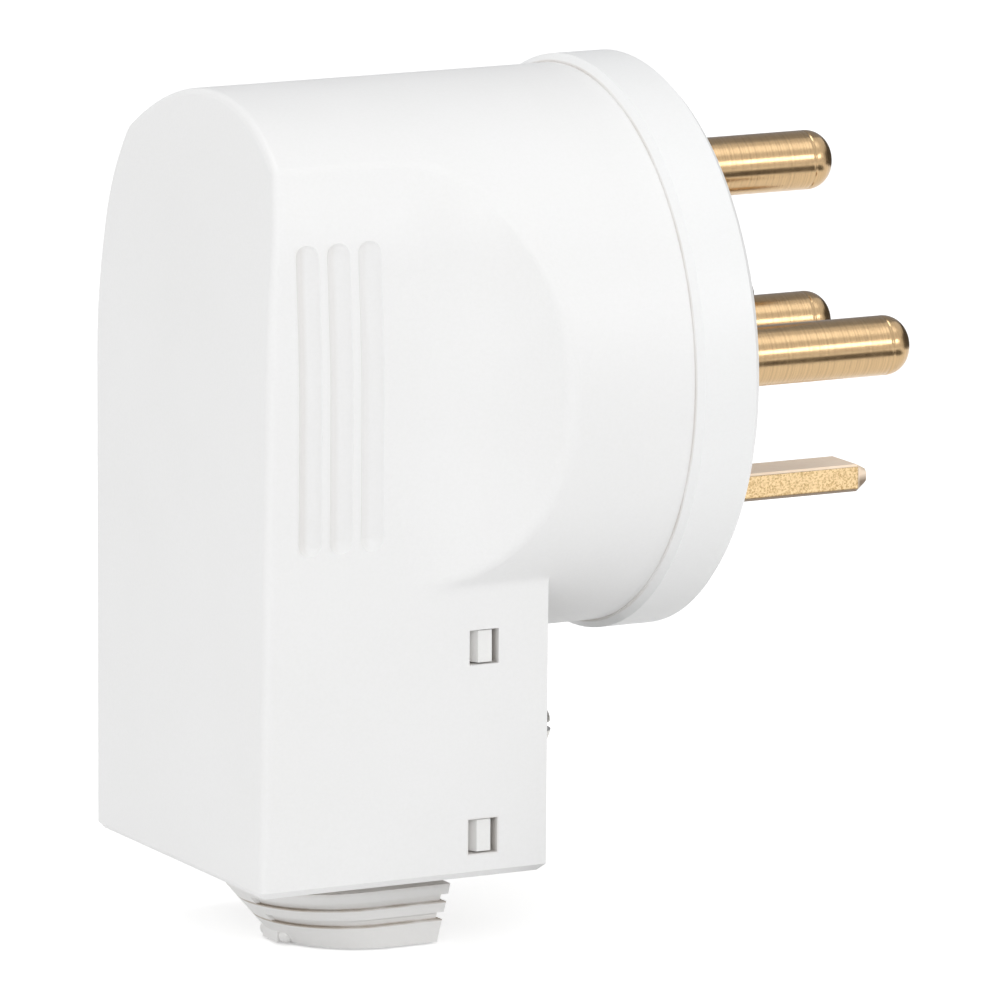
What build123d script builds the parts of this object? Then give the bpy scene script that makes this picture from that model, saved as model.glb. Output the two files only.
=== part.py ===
from build123d import *
import math
import os

# Three-phase plug with a cable outlet at its foot, in millimetres.
# +X is the way the pins point, +Z is up and the earth pin is at the bottom.
# The origin is the middle of the flat contact face, on the neutral pin's axis.

# Pins
pin_radius = 3.0
pin_reach = 22.6
pin_end_round = 2.4
pin_pitch_radius = 16.4
pin_neck_radius = 2.4
pin_seat_radius = 3.7
pin_head_radius = 4.2
pin_head_length = 4.0
earth_pitch_radius = 16.1
earth_width = 5.6
earth_thickness = 2.8
earth_reach = 26.3
earth_bevel = 1.4
earth_bevel_rise = 0.7
earth_seat_width = 6.6
earth_seat_thickness = 3.8
pin_clearance = 0.03

# Pin carrier: contact flange, spigot and terminal chambers
flange_radius = 28.75
flange_thickness = 6.9
flange_front_round = 0.6
flange_rear_bevel = 0.7
face_thickness = 8.0
spigot_length = 12.0
spigot_wall = 2.0
spigot_clearance = 0.15
chamber_wall = 1.6
chamber_radius = 7.2

# Housing: collar, flat-sided grip and lower box
collar_radius = 27.9
wall = 2.2
back_x = -50.0
back_lean = 0.75
back_crown_radius = 130.0
box_front_x = -18.8
box_bottom_z = -49.1
side_half_width = 20.0
side_draft = 1.0
side_crown_radius = 120.0
side_lean = 3.5
side_bend_z = 13.0
side_bend_radius = 23.0
side_bend_end = 40.0
scoop_start_x = -34.5
scoop_radius = 16.5
side_rim_round = 1.8
back_rim_round = 0.8
foot_bevel = 0.7
back_rim_depth = 5.0

# Finger grooves
groove_count = 3
groove_first_x = -44.8
groove_pitch = 3.35
groove_width = 2.5
groove_depth = 0.7
groove_length = 30.7

# Latch windows and the front cover's hooks
window_front_x = -24.2
window_depth = 3.2
window_height = 3.5
window_upper_z = -25.9
window_lower_z = -44.9
hook_front_gap = 0.6
hook_rear_gap = 0.6
hook_side_gap = 0.15
hook_set_back = 0.35
hook_bevel = 0.5
hook_bevel_depth = 0.9
latch_arm_thickness = 1.5

# Front cover of the lower box
cover_thickness = 2.0
cover_gap = 0.15
cover_tongue_gap = 0.2

# Cover screws and their inserts
cover_screw_edge = 5.6
cover_screw_z = -35.2
screw_radius = 1.7
screw_hole_gap = 0.06
screw_through_gap = 0.2
hole_run_out = 1.0
tapped_run_out = 0.5
cover_head_radius = 3.0
cover_head_height = 2.6
cover_screw_length = 12.0
insert_radius = 2.3
insert_length = 6.0
boss_wall = 1.2
slot_width = 0.9
slot_depth = 0.9
domed_slot_depth = 1.3
head_round_share = 0.35

# Cable outlet
outlet_front_x = -25.2
outlet_bore_radius = 6.0
outlet_neck_radius = 8.6
outlet_neck_x = -33.9
outlet_bore_x = -32.9
outlet_lip = 1.6
outlet_lip_thickness = 1.6
outlet_slot_gap = 0.15
outlet_top_z = -51.6
ring_height = 1.1
ring_gap = 0.8
last_ring_height = 2.4
ring_top_radius = 10.1
ring_bottom_radius = 8.5
ring_top_x = -34.2
ring_bottom_x = -30.4
ring_top_front_x = -24.8
ring_bottom_front_x = -25.5
ring_step = 0.5
rear_rib_width = 4.6
tab_width = 3.4
tab_height = 1.4
tab_reach = 0.9
tab_depth = 2.0
bump_radius = 0.7
bump_gap = 0.5

# Cable clamp
clamp_z = -42.4
clamp_width = 5.0
clamp_thickness = 2.4
clamp_arch_radius = 6.4
clamp_screw_y = 11.0
clamp_ear_length = 6.0
clamp_seat_x = -33.9
clamp_screw_length = 9.0
clamp_head_radius = 2.6
clamp_head_height = 1.8

# Terminal screws and their clamp washers
terminal_screw_radius = 1.7
terminal_screw_length = 6.0
terminal_head_radius = 3.5
terminal_head_height = 2.0
terminal_washer_side = 7.6
terminal_washer_thickness = 1.0
washer_corner_round = 1.0

# Carrier screws
carrier_screw_y = 11.6
carrier_screw_z = 11.6
carrier_head_radius = 3.0
carrier_head_height = 2.2
carrier_head_gap = 0.2
carrier_screw_length = 24.0
carrier_boss_radius = 3.4

# Reach of the cutting tools, how far one runs past a face, and the slack in a comparison
far = 80.0
over = 1.5
hair = 0.01


def x_cylinder(radius, x_from, x_to, y=0.0, z=0.0):
    """Return a cylinder on the X direction between two X values."""
    solid = Cylinder(radius, x_to - x_from, align=(Align.CENTER, Align.CENTER, Align.MIN))
    return Pos(x_from, y, z) * Rot(0, 90, 0) * solid


def z_cylinder(radius, z_from, z_to, x=0.0, y=0.0):
    """Return an upright cylinder between two heights."""
    solid = Cylinder(radius, z_to - z_from, align=(Align.CENTER, Align.CENTER, Align.MIN))
    return Pos(x, y, z_from) * solid


def block(x_from, x_to, y_from, y_to, z_from, z_to):
    """Return a block between opposite corners."""
    solid = Box(x_to - x_from, y_to - y_from, z_to - z_from, align=Align.MIN)
    return Pos(x_from, y_from, z_from) * solid


def revolve_about_x(outline):
    """Turn an outline of (x, radius) points about the X axis."""
    face = Plane.XY * make_face(Polyline(*outline, close=True))
    return revolve(face, Axis.X, 360)


def both_sides(solid):
    """Return the solid together with its mirror image across the middle plane."""
    return solid + mirror(solid, Plane.XZ)


def crown_point(angle, inset):
    """Return the (y, z) of a side's crowned middle where its surface leans by an angle."""
    turn = math.radians(angle)
    radius = side_crown_radius - inset
    return side_half_width - side_crown_radius + radius * math.cos(turn), radius * math.sin(turn)


def side_y(z, inset=0.0):
    """Return how far out a drafted side wall stands at a height below its crowned middle."""
    y, top = crown_point(-side_draft, inset)
    return y + (z - top) * math.tan(math.radians(side_draft))


def lean_y(z, inset=0.0):
    """Return how far out the leaning part of a side wall stands at a height."""
    y, bottom = crown_point(side_lean, inset)
    return y - (z - bottom) * math.tan(math.radians(side_lean))


def bend_point(angle, inset):
    """Return the (y, z) where the bend at a side's top leans by an angle."""
    start = math.radians(side_lean)
    turn = math.radians(angle)
    radius = side_bend_radius - inset
    centre_y = lean_y(side_bend_z) - side_bend_radius * math.cos(start)
    centre_z = side_bend_z - side_bend_radius * math.sin(start)
    return centre_y + radius * math.cos(turn), centre_z + radius * math.sin(turn)


def side_face(inset):
    """Return the upright face outside one side, from its surface out to the hollow's axis."""
    foot = (side_y(-far, inset), -far)
    crown_low = crown_point(-side_draft, inset)
    crown_middle = crown_point(0.0, inset)
    crown_high = crown_point(side_lean, inset)
    bend_start = bend_point(side_lean, inset)
    bend_middle = bend_point((side_lean + side_bend_end) / 2, inset)
    bend_end = bend_point(side_bend_end, inset)
    crest = (0.0, bend_end[1] + bend_end[0] / math.tan(math.radians(side_bend_end)))
    outer = side_half_width + scoop_radius
    with BuildSketch(Plane.YZ) as profile:
        with BuildLine():
            Line(foot, crown_low)
            ThreePointArc(crown_low, crown_middle, crown_high)
            Line(crown_high, bend_start)
            ThreePointArc(bend_start, bend_middle, bend_end)
            Line(bend_end, crest)
            Line(crest, (outer, crest[1]))
            Line((outer, crest[1]), (outer, -far))
            Line((outer, -far), foot)
        make_face()
    return Pos(scoop_start_x, 0, 0) * profile.sketch


def side_cutter(inset):
    """Return what is taken off one side: the flat, and the hollow that turns out to the collar."""
    face = side_face(inset)
    hollow_axis = Axis((scoop_start_x, side_half_width + scoop_radius, 0), (0, 0, 1))
    flat = extrude(face, far, dir=(-1, 0, 0))
    hollow = revolve(face, hollow_axis, 90)
    return flat + hollow


def back_profile(inset):
    """Return the upright slab that gives the back its lean and its crowned top."""
    lean = math.tan(math.radians(back_lean))
    foot_x = back_x + inset
    knee_x = foot_x - box_bottom_z * lean
    rise = collar_radius + over
    crown = back_crown_radius - inset
    turn = math.asin(rise / crown)
    drop = crown * (1 - math.cos(turn)) + rise * lean
    middle_turn = turn / 2
    middle_rise = crown * math.sin(middle_turn)
    middle_drop = crown * (1 - math.cos(middle_turn)) + middle_rise * lean
    with BuildSketch(Plane.XZ) as profile:
        with BuildLine():
            Line((foot_x - lean * far / 2, box_bottom_z - far / 2), (knee_x, 0))
            ThreePointArc((knee_x, 0), (knee_x + middle_drop, middle_rise), (knee_x + drop, rise))
            Line((knee_x + drop, rise), (far, rise))
            Line((far, rise), (far, box_bottom_z - far / 2))
            Line((far, box_bottom_z - far / 2), (foot_x - lean * far / 2, box_bottom_z - far / 2))
        make_face()
    return extrude(profile.sketch, far / 2, both=True)


def lower_box(inset, front_x):
    """Return the tapered box below the collar."""
    wide = side_half_width + over
    top = crown_point(-side_draft, inset)[1]
    box = block(-far, front_x, -wide, wide, box_bottom_z + inset, top)
    beside = extrude(side_face(inset), far, both=True)
    return box - both_sides(beside)


def middle(edge):
    """Return the point half way along an edge."""
    return edge.position_at(0.5)


def collar_form(inset, front_x):
    """Return the round collar with its two sides cut away."""
    return x_cylinder(collar_radius - inset, -far, front_x) - both_sides(side_cutter(inset))


def is_side_rim(edge):
    """Tell whether an edge runs round a side where the flat and the hollow meet the collar."""
    point = middle(edge)
    on_collar = abs(math.hypot(point.Y, point.Z) - collar_radius) < hair
    return on_collar and abs(point.Y) > side_half_width / 2 and point.X < box_front_x - hair


def is_back_rim(edge):
    """Tell whether an edge belongs to the back's outline above the foot."""
    point = middle(edge)
    outer = abs(point.Y) > side_half_width / 2 or point.Z > collar_radius / 2
    return outer and point.X < back_x + back_rim_depth


def is_foot(edge):
    """Tell whether an edge lies in the housing's bottom plane."""
    return abs(middle(edge).Z - box_bottom_z) < hair


def housing_inside():
    """Return the room that the housing's walls enclose."""
    form = collar_form(wall, 0) + lower_box(wall, box_front_x)
    return form & back_profile(wall)


def housing_outside():
    """Return the housing as a solid block with its rims rounded and its foot bevelled."""
    form = collar_form(0.0, collar_x) + lower_box(0.0, box_front_x)
    form = fillet(form.edges().filter_by(is_side_rim), side_rim_round)
    form = form & back_profile(0.0)
    form = fillet(form.edges().filter_by(is_back_rim), back_rim_round)
    return chamfer(form.edges().filter_by(is_foot), foot_bevel)


def groove_cutter(x):
    """Return a round-ended channel cutter that follows one side's profile."""
    radius = (groove_width ** 2 / 4 + groove_depth ** 2) / (2 * groove_depth)
    half = groove_length / 2 - groove_width / 2
    away = groove_depth - radius
    low = (side_y(-half, away), -half)
    high = (lean_y(half, away), half)
    crown_low = crown_point(-side_draft, away)
    crown_high = crown_point(side_lean, away)
    with BuildLine(Plane.YZ.offset(x)) as path:
        Line(low, crown_low)
        ThreePointArc(crown_low, crown_point(0.0, away), crown_high)
        Line(crown_high, high)
    start = Plane(origin=path.line @ 0, z_dir=path.line % 0)
    bar = sweep(start * Circle(radius), path.line)
    for y, z in (low, high):
        bar += Pos(x, y, z) * Sphere(radius)
    return bar


def outlet_level(z, radius, centre_x, front_x):
    """Return the outlet's outline at a height: a half round with straight sides to a flat front."""
    with BuildSketch(Plane.XY.offset(z)) as level:
        with BuildLine():
            Line((front_x, -radius), (centre_x, -radius))
            ThreePointArc((centre_x, -radius), (centre_x - radius, 0), (centre_x, radius))
            Line((centre_x, radius), (front_x, radius))
            Line((front_x, radius), (front_x, -radius))
        make_face()
    return level.sketch


def ring_values(z):
    """Return the outlet's radius, centre and front at a height between its first and last ring."""
    share = (outlet_top_z - z) / (outlet_top_z - outlet_bottom_z)
    radius = ring_top_radius + share * (ring_bottom_radius - ring_top_radius)
    centre = ring_top_x + share * (ring_bottom_x - ring_top_x)
    front = ring_top_front_x + share * (ring_bottom_front_x - ring_top_front_x)
    return radius, centre, front


def ring(z_top, z_bottom, set_in):
    """Return one tapered step of the outlet, moved inwards by set_in."""
    levels = []
    for z in (z_top, z_bottom):
        radius, centre, front = ring_values(z)
        levels.append(outlet_level(z, radius - set_in, centre, front - set_in))
    return loft(levels)


# Places that follow from the sizes above
face_back_x = -face_thickness
collar_x = -flange_thickness
spigot_end_x = collar_x - spigot_length
spigot_radius = collar_radius - wall - spigot_clearance
pin_head_x = face_back_x - pin_head_length
cover_back_x = box_front_x - cover_thickness
inner_bottom_z = box_bottom_z + wall
outlet_bottom_z = outlet_top_z - 2 * (ring_height + ring_gap) - last_ring_height
round_pin_places = {
    "neutral_pin": (0.0, 0.0),
    "phase_pin_top": (0.0, pin_pitch_radius),
    "phase_pin_near": (-pin_pitch_radius, 0.0),
    "phase_pin_far": (pin_pitch_radius, 0.0),
}
earth_place = (0.0, -earth_pitch_radius)
terminal_places = {
    "neutral": round_pin_places["neutral_pin"],
    "phase_top": round_pin_places["phase_pin_top"],
    "phase_near": round_pin_places["phase_pin_near"],
    "phase_far": round_pin_places["phase_pin_far"],
    "earth": earth_place,
}
cover_screw_y = side_half_width - cover_screw_edge
clamp_screw_seat_x = clamp_seat_x + clamp_thickness
cover_hole_end_x = box_front_x - cover_screw_length - hole_run_out
clamp_hole_end_x = clamp_screw_seat_x - clamp_screw_length - hole_run_out
carrier_hole_end_x = -carrier_head_height - carrier_screw_length - hole_run_out
tapped_depth = terminal_screw_length - terminal_washer_thickness + tapped_run_out


def make_housing():
    """Rear shell: collar, scooped sides with grooves, lower box, windows, outlet slot and bosses."""
    shell = housing_outside()
    for index in range(groove_count):
        shell -= both_sides(groove_cutter(groove_first_x + index * groove_pitch))
    shell -= housing_inside()
    bosses = []
    for y in (-cover_screw_y, cover_screw_y):
        bosses.append(boss(insert_radius + boss_wall, cover_back_x, y, cover_screw_z))
    for y in (-clamp_screw_y, clamp_screw_y):
        bosses.append(boss(screw_radius + boss_wall, clamp_seat_x, y, clamp_z))
    for y in (-carrier_screw_y, carrier_screw_y):
        bosses.append(boss(carrier_boss_radius, spigot_end_x, y, carrier_screw_z))
    for item in bosses:
        shell += item
    for y in (-cover_screw_y, cover_screw_y):
        shell -= x_cylinder(insert_radius, cover_back_x - insert_length, 0, y, cover_screw_z)
        shell -= x_cylinder(screw_radius + screw_hole_gap, cover_hole_end_x, 0, y, cover_screw_z)
    for y in (-clamp_screw_y, clamp_screw_y):
        shell -= x_cylinder(screw_radius + screw_hole_gap, clamp_hole_end_x, 0, y, clamp_z)
    for y in (-carrier_screw_y, carrier_screw_y):
        shell -= x_cylinder(screw_radius + screw_hole_gap, carrier_hole_end_x, 0, y, carrier_screw_z)
    for z in (window_upper_z, window_lower_z):
        window = block(
            window_front_x - window_depth, window_front_x, side_y(z) - wall - over, far / 2,
            z - window_height / 2, z + window_height / 2)
        shell -= both_sides(window)
    shell -= outlet_slot()
    return shell


def boss(radius, top_x, y, z):
    """Return a screw boss that stands on the inside of the back wall."""
    post = x_cylinder(radius, -far, top_x, y, z)
    rear = collar_form(wall / 2, far) + lower_box(wall / 2, far)
    return post & rear & back_profile(wall / 2)


def outlet_slot():
    """Return the slot in the bottom wall that the outlet's neck slides into from the front."""
    radius = outlet_neck_radius + outlet_slot_gap
    slot = z_cylinder(radius, box_bottom_z - over, inner_bottom_z + over, outlet_neck_x)
    slot += block(
        outlet_neck_x, 0, -radius, radius, box_bottom_z - over, inner_bottom_z + over)
    return slot


def make_front_cover():
    """Plate that closes the lower box, with four latch hooks and a tongue that shuts the outlet slot."""
    bottom = inner_bottom_z + cover_gap
    outline = [
        (-side_y(0, wall + cover_gap), 0), (side_y(0, wall + cover_gap), 0),
        (side_y(bottom, wall + cover_gap), bottom), (-side_y(bottom, wall + cover_gap), bottom)]
    face = Plane.YZ * make_face(Polyline(*outline, close=True))
    plate = Pos(cover_back_x, 0, 0) * extrude(face, cover_thickness)
    plate -= x_cylinder(collar_radius + cover_gap, -far, far)
    tongue_half = outlet_neck_radius - cover_tongue_gap
    tongue_back_x = outlet_front_x + outlet_slot_gap
    tongue = block(
        tongue_back_x, box_front_x, -tongue_half, tongue_half, box_bottom_z, bottom + over)
    plate += chamfer(tongue.edges().filter_by(Axis.Y).sort_by(Axis.Z)[:2].sort_by(Axis.X)[-1], foot_bevel)
    for z in (window_upper_z, window_lower_z):
        plate += both_sides(latch_hook(z))
    for y in (-cover_screw_y, cover_screw_y):
        hole = screw_radius + screw_through_gap
        plate -= x_cylinder(hole, -far, far, y, cover_screw_z)
    return plate


def latch_hook(z):
    """Return one latch arm with the nose that shows in its window."""
    half = window_height / 2 - hook_side_gap
    outer_y = side_y(z - window_height / 2, wall + cover_gap)
    rear_x = window_front_x - window_depth + hook_rear_gap
    nose_front_x = window_front_x - hook_front_gap
    nose_y = side_y(z, hook_set_back)
    arm = block(rear_x, box_front_x, outer_y - latch_arm_thickness, outer_y, z - half, z + half)
    root_y = outer_y - latch_arm_thickness / 2
    profile = [
        (rear_x, root_y), (rear_x, nose_y - hook_bevel_depth), (rear_x + hook_bevel, nose_y),
        (nose_front_x, nose_y), (nose_front_x, root_y)]
    nose = extrude(Plane.XY.offset(z - half) * make_face(Polyline(*profile, close=True)), 2 * half)
    return arm + nose


def make_pin_carrier():
    """Front disc with its flange, spigot, terminal chambers and the pins' seats."""
    outline = [
        (0, 0), (0, flange_radius - flange_front_round), (-flange_front_round, flange_radius),
        (collar_x + flange_rear_bevel, flange_radius), (collar_x, flange_radius - flange_rear_bevel),
        (collar_x, spigot_radius), (spigot_end_x, spigot_radius),
        (spigot_end_x, spigot_radius - spigot_wall), (face_back_x, spigot_radius - spigot_wall),
        (face_back_x, 0)]
    body = revolve_about_x(outline)
    chamber = x_cylinder(chamber_radius, spigot_end_x, face_back_x)
    chamber -= x_cylinder(chamber_radius - chamber_wall, spigot_end_x, face_back_x)
    webs = chamber
    for angle in (45, 135, 225, 315):
        web = block(
            spigot_end_x, face_back_x, chamber_radius - chamber_wall / 3,
            spigot_radius - spigot_wall / 2,
            -chamber_wall / 2, chamber_wall / 2)
        webs += Rot(angle, 0, 0) * web
    body += webs
    for y in (-carrier_screw_y, carrier_screw_y):
        body += x_cylinder(carrier_boss_radius, spigot_end_x, face_back_x, y, carrier_screw_z)
        shank = screw_radius + screw_through_gap
        body -= x_cylinder(shank, -far, far, y, carrier_screw_z)
        recess = carrier_head_radius + carrier_head_gap
        body -= x_cylinder(recess, -carrier_head_height, far, y, carrier_screw_z)
    for y, z in round_pin_places.values():
        body -= x_cylinder(pin_neck_radius + pin_clearance, -far, far, y, z)
        body -= x_cylinder(pin_seat_radius + pin_clearance, -far, -face_thickness / 2, y, z)
    body -= earth_bar(earth_width, earth_thickness, pin_clearance, -far, far)
    body -= earth_bar(earth_seat_width, earth_seat_thickness, pin_clearance, -far, -face_thickness / 2)
    return body


def earth_bar(width, thickness, gap, x_from, x_to):
    """Return the earth pin's flat bar between two X values."""
    y, z = earth_place
    half_width = width / 2 + gap
    half_thickness = thickness / 2 + gap
    return block(
        x_from, x_to, y - half_width, y + half_width, z - half_thickness, z + half_thickness)


def make_round_pin(place):
    """Turned pin with a rounded end, a neck and a seat in the carrier and a tapped head."""
    y, z = place
    free = x_cylinder(pin_radius, 0, pin_reach)
    free = fillet(free.edges().sort_by(Axis.X)[-1], pin_end_round)
    pin = free + x_cylinder(pin_neck_radius, -face_thickness / 2, 0.0)
    pin += x_cylinder(pin_seat_radius, face_back_x, -face_thickness / 2)
    pin += x_cylinder(pin_head_radius, pin_head_x, face_back_x)
    pin -= x_cylinder(terminal_screw_radius + screw_hole_gap, pin_head_x, pin_head_x + tapped_depth)
    return Pos(0, y, z) * pin


def make_earth_pin():
    """Flat pin with a bevelled tip, a wider seat in the carrier and a tapped head."""
    y, z = earth_place
    blade = earth_bar(earth_width, earth_thickness, 0.0, -face_thickness / 2, earth_reach)
    tip = blade.edges().filter_by_position(Axis.X, earth_reach - hair, earth_reach + hair)
    blade = chamfer(tip, earth_bevel_rise, earth_bevel)
    pin = blade + earth_bar(
        earth_seat_width, earth_seat_thickness, 0.0, face_back_x, -face_thickness / 2)
    pin += x_cylinder(pin_head_radius, pin_head_x, face_back_x, y, z)
    pin -= x_cylinder(
        terminal_screw_radius + screw_hole_gap, pin_head_x, pin_head_x + tapped_depth, y, z)
    return pin


def make_terminal_washer(place):
    """Square clamp washer against the pin's head."""
    y, z = place
    half = terminal_washer_side / 2
    back = pin_head_x - terminal_washer_thickness
    washer = block(back, pin_head_x, y - half, y + half, z - half, z + half)
    upright = washer.edges().filter_by(Axis.X)
    washer = fillet(upright, washer_corner_round)
    return washer - x_cylinder(terminal_screw_radius + screw_through_gap, -far, 0, y, z)


def slotted_head(radius, height, x_seat, way):
    """Return a slotted round head on the X axis; way is +1 when the head faces the pins' way."""
    top = x_seat + way * height
    head = x_cylinder(radius, min(x_seat, top), max(x_seat, top))
    rim = head.edges().sort_by(Axis.X)[-1 if way > 0 else 0]
    head = fillet(rim, head_round_share * height)
    groove_inner = top - way * slot_depth
    groove_outer = top + way * over
    slot = block(
        min(groove_inner, groove_outer), max(groove_inner, groove_outer),
        -radius, radius, -slot_width / 2, slot_width / 2)
    return head - slot


def make_terminal_screw(place):
    """Terminal screw, put in from behind through its washer."""
    y, z = place
    seat = pin_head_x - terminal_washer_thickness
    screw = slotted_head(terminal_head_radius, terminal_head_height, seat, -1)
    screw += x_cylinder(terminal_screw_radius, seat, seat + terminal_screw_length)
    return Pos(0, y, z) * screw


def domed_head(radius, height, x_seat):
    """Return a domed slotted head on the X axis that faces the pins' way."""
    sphere_radius = (radius ** 2 + height ** 2) / (2 * height)
    top = x_seat + height
    half_turn = math.asin(radius / sphere_radius) / 2
    crest = (top - sphere_radius * (1 - math.cos(half_turn)), sphere_radius * math.sin(half_turn))
    with BuildSketch(Plane.XY) as profile:
        with BuildLine():
            Line((x_seat, 0), (x_seat, radius))
            ThreePointArc((x_seat, radius), crest, (top, 0))
            Line((top, 0), (x_seat, 0))
        make_face()
    head = revolve(profile.sketch, Axis.X, 360)
    slot = block(top - domed_slot_depth, top, -radius, radius, -slot_width / 2, slot_width / 2)
    return head - slot


def make_cover_screw(y):
    """Domed slotted screw that holds the front cover."""
    screw = domed_head(cover_head_radius, cover_head_height, box_front_x)
    screw += x_cylinder(screw_radius, box_front_x - cover_screw_length, box_front_x)
    return Pos(0, y, cover_screw_z) * screw


def make_cover_insert(y):
    """Threaded insert in the housing's boss."""
    back = cover_back_x - insert_length
    insert = x_cylinder(insert_radius, back, cover_back_x)
    insert -= x_cylinder(screw_radius + screw_hole_gap, back, cover_back_x)
    return Pos(0, y, cover_screw_z) * insert


def make_carrier_screw(y):
    """Screw that draws the pin carrier on to the housing."""
    screw = slotted_head(carrier_head_radius, carrier_head_height, -carrier_head_height, 1)
    screw += x_cylinder(
        screw_radius, -carrier_head_height - carrier_screw_length, -carrier_head_height)
    return Pos(0, y, carrier_screw_z) * screw


def make_cable_outlet():
    """Stepped outlet: lip inside the housing, neck in the slot and three tapered rings below."""
    neck_front_x = outlet_front_x
    lip_radius = outlet_neck_radius + outlet_lip
    neck = extrude(
        outlet_level(outlet_top_z, outlet_neck_radius, outlet_neck_x, neck_front_x),
        inner_bottom_z - outlet_top_z)
    lip = extrude(
        outlet_level(inner_bottom_z, lip_radius, outlet_neck_x, neck_front_x), outlet_lip_thickness)
    outlet = neck + lip
    z = outlet_top_z
    for height in (ring_height, ring_height, last_ring_height):
        outlet += ring(z, z - height, 0.0)
        z -= height
        if z > outlet_bottom_z + hair:
            outlet += ring(z, z - ring_gap, ring_step)
            z -= ring_gap
    rib_half = rear_rib_width / 2
    rib = ring(outlet_top_z, outlet_bottom_z, 0.0)
    outlet += rib & block(-far, outlet_neck_x, -rib_half, rib_half, -far, 0)
    radius, centre, front = ring_values(outlet_bottom_z)
    tab_x = centre - radius - tab_reach
    outlet += block(
        tab_x, tab_x + tab_depth, -tab_width / 2, tab_width / 2,
        outlet_bottom_z, outlet_bottom_z + tab_height)
    bump = Pos(tab_x + bump_radius, tab_width / 2 + bump_gap, outlet_bottom_z + bump_radius)
    outlet += both_sides(bump * Sphere(bump_radius))
    outlet -= z_cylinder(outlet_bore_radius, outlet_bottom_z - over, 0, outlet_bore_x)
    return outlet


def make_cable_clamp():
    """Saddle that presses the cable's sheath against the housing."""
    low = clamp_z - clamp_width / 2
    outer = clamp_arch_radius + clamp_thickness
    arch = z_cylinder(outer, low, low + clamp_width, clamp_seat_x)
    arch += block(
        clamp_seat_x, clamp_seat_x + clamp_thickness, -clamp_screw_y - clamp_ear_length / 2,
        clamp_screw_y + clamp_ear_length / 2, low, low + clamp_width)
    arch -= z_cylinder(clamp_arch_radius, low, low + clamp_width, clamp_seat_x)
    arch -= block(-far, clamp_seat_x, -far, far, -far, far)
    for y in (-clamp_screw_y, clamp_screw_y):
        arch -= x_cylinder(screw_radius + screw_through_gap, -far, far, y, clamp_z)
    return arch


def make_clamp_screw(y):
    """Screw of the cable clamp."""
    screw = slotted_head(clamp_head_radius, clamp_head_height, clamp_screw_seat_x, 1)
    screw += x_cylinder(
        screw_radius, clamp_screw_seat_x - clamp_screw_length, clamp_screw_seat_x)
    return Pos(0, y, clamp_z) * screw


def build():
    """Return every piece by its node name."""
    pieces = {
        "housing": make_housing(),
        "front_cover": make_front_cover(),
        "pin_carrier": make_pin_carrier(),
        "cable_outlet": make_cable_outlet(),
        "cable_clamp": make_cable_clamp(),
        "earth_pin": make_earth_pin(),
    }
    for name, place in round_pin_places.items():
        pieces[name] = make_round_pin(place)
    for name, place in terminal_places.items():
        pieces["terminal_washer_" + name] = make_terminal_washer(place)
        pieces["terminal_screw_" + name] = make_terminal_screw(place)
    for side, way in (("near", -1), ("far", 1)):
        pieces["cover_screw_" + side] = make_cover_screw(way * cover_screw_y)
        pieces["cover_insert_" + side] = make_cover_insert(way * cover_screw_y)
        pieces["carrier_screw_" + side] = make_carrier_screw(way * carrier_screw_y)
        pieces["clamp_screw_" + side] = make_clamp_screw(way * clamp_screw_y)
    return pieces


os.makedirs("parts", exist_ok=True)
for name, piece in build().items():
    export_step(piece, "parts/" + name + ".step")
    print(name, round(piece.volume, 1))
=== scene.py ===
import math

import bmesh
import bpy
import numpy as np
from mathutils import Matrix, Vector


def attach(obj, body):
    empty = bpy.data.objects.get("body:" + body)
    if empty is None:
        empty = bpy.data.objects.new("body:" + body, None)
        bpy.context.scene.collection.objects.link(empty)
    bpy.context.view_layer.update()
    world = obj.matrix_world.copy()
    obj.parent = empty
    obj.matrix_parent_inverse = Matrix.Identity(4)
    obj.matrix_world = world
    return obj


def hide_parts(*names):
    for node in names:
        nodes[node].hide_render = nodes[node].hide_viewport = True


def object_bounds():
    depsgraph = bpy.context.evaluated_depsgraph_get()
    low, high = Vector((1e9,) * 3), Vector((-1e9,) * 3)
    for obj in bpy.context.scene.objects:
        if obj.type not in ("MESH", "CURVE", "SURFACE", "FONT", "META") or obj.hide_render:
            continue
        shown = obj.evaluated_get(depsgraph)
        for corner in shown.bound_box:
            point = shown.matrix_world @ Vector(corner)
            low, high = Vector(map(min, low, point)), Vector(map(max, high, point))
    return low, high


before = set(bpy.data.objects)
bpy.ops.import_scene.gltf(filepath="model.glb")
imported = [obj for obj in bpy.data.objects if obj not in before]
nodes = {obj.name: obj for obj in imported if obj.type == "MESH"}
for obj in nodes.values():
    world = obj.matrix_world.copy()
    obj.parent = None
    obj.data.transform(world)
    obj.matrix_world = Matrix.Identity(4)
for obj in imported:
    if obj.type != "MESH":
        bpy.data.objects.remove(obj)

# %% [markdown]
# A right-angle three-phase plug in white plastic, with four round brass pins and one flat
# earth pin. The engineering model is already in the scene, in metres, as one object for each
# part. This lesson gives every part its finish, replaces the pins by finer surfaces, and
# then sets up the floor, the light and the camera. The first cell loads the tools that the
# later ones share, and measures the model before anything is added to it.

cad_box = [list(corner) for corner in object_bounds()]
mm = 0.001
print("parts in the model:", len(nodes))
print("size in millimetres:", [round((b - a) / mm, 1) for a, b in zip(*cad_box)])


# %% [markdown]
# A material is a small network of nodes. Writing each link by hand makes a long script, so
# these helpers start an empty material, add a node with its values set, and join two sockets.
# They are ordinary functions, and the networks they make can be opened and changed in the
# shader editor afterwards.

# %% Helpers that start a material, and add and join nodes
def start_material(name):
    """Make a material that holds only a Principled shader and its output."""
    material = bpy.data.materials.new(name)
    material.use_nodes = True
    tree = material.node_tree
    return material, tree, tree.nodes["Principled BSDF"]


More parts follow.
